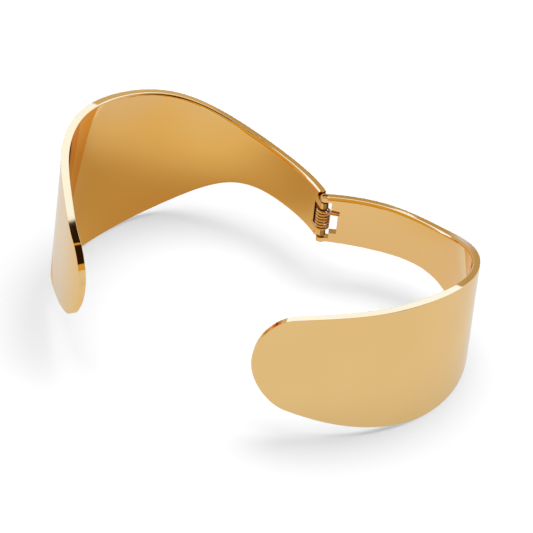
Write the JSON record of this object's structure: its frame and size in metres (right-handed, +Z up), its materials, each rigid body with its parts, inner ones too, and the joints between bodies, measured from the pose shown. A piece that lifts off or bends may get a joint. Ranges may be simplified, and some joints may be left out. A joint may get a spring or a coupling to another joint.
{
  "type": "hinged cuff bracelet",
  "caption": "Hinged cuff bracelet: two bent, polished metal plates that narrow to a sprung pin hinge and widen into rounded ends around the wrist.",
  "frame": {"origin": "under the middle of the bracelet's box, on the surface it lies on", "axes": "+Z up from the surface, +X along the open bracelet's width from the left half to the right half, +Y away from the wrist gap towards the hinge's back; the hinge axis leans about 6 degrees from +Z"},
  "size_m": [0.0786, 0.0676, 0.0323],
  "materials": {
    "polished_gold": "mirror-polished yellow gold plate over brass, with fine handling marks",
    "hinge_gold": "gold-plated turned pin, satin ends",
    "spring_wire": "drawn gold-plated wire, slightly darker than the plates"
  },
  "bodies": {
    "right_body": {"right_half": "polished_gold", "hinge_pin": "hinge_gold", "hinge_spring": "spring_wire"},
    "left_body": {"left_half": "polished_gold"}
  },
  "joints": [
    {"name": "cuff_hinge", "type": "hinge", "parent": "right_body", "child": "left_body", "pos_m": [0.01101, 0.01363, 0.01281], "axis": [0.0854, 0.0504, 0.9951], "range_deg": [0, 52], "deforming": ["hinge_spring"]}
  ]
}
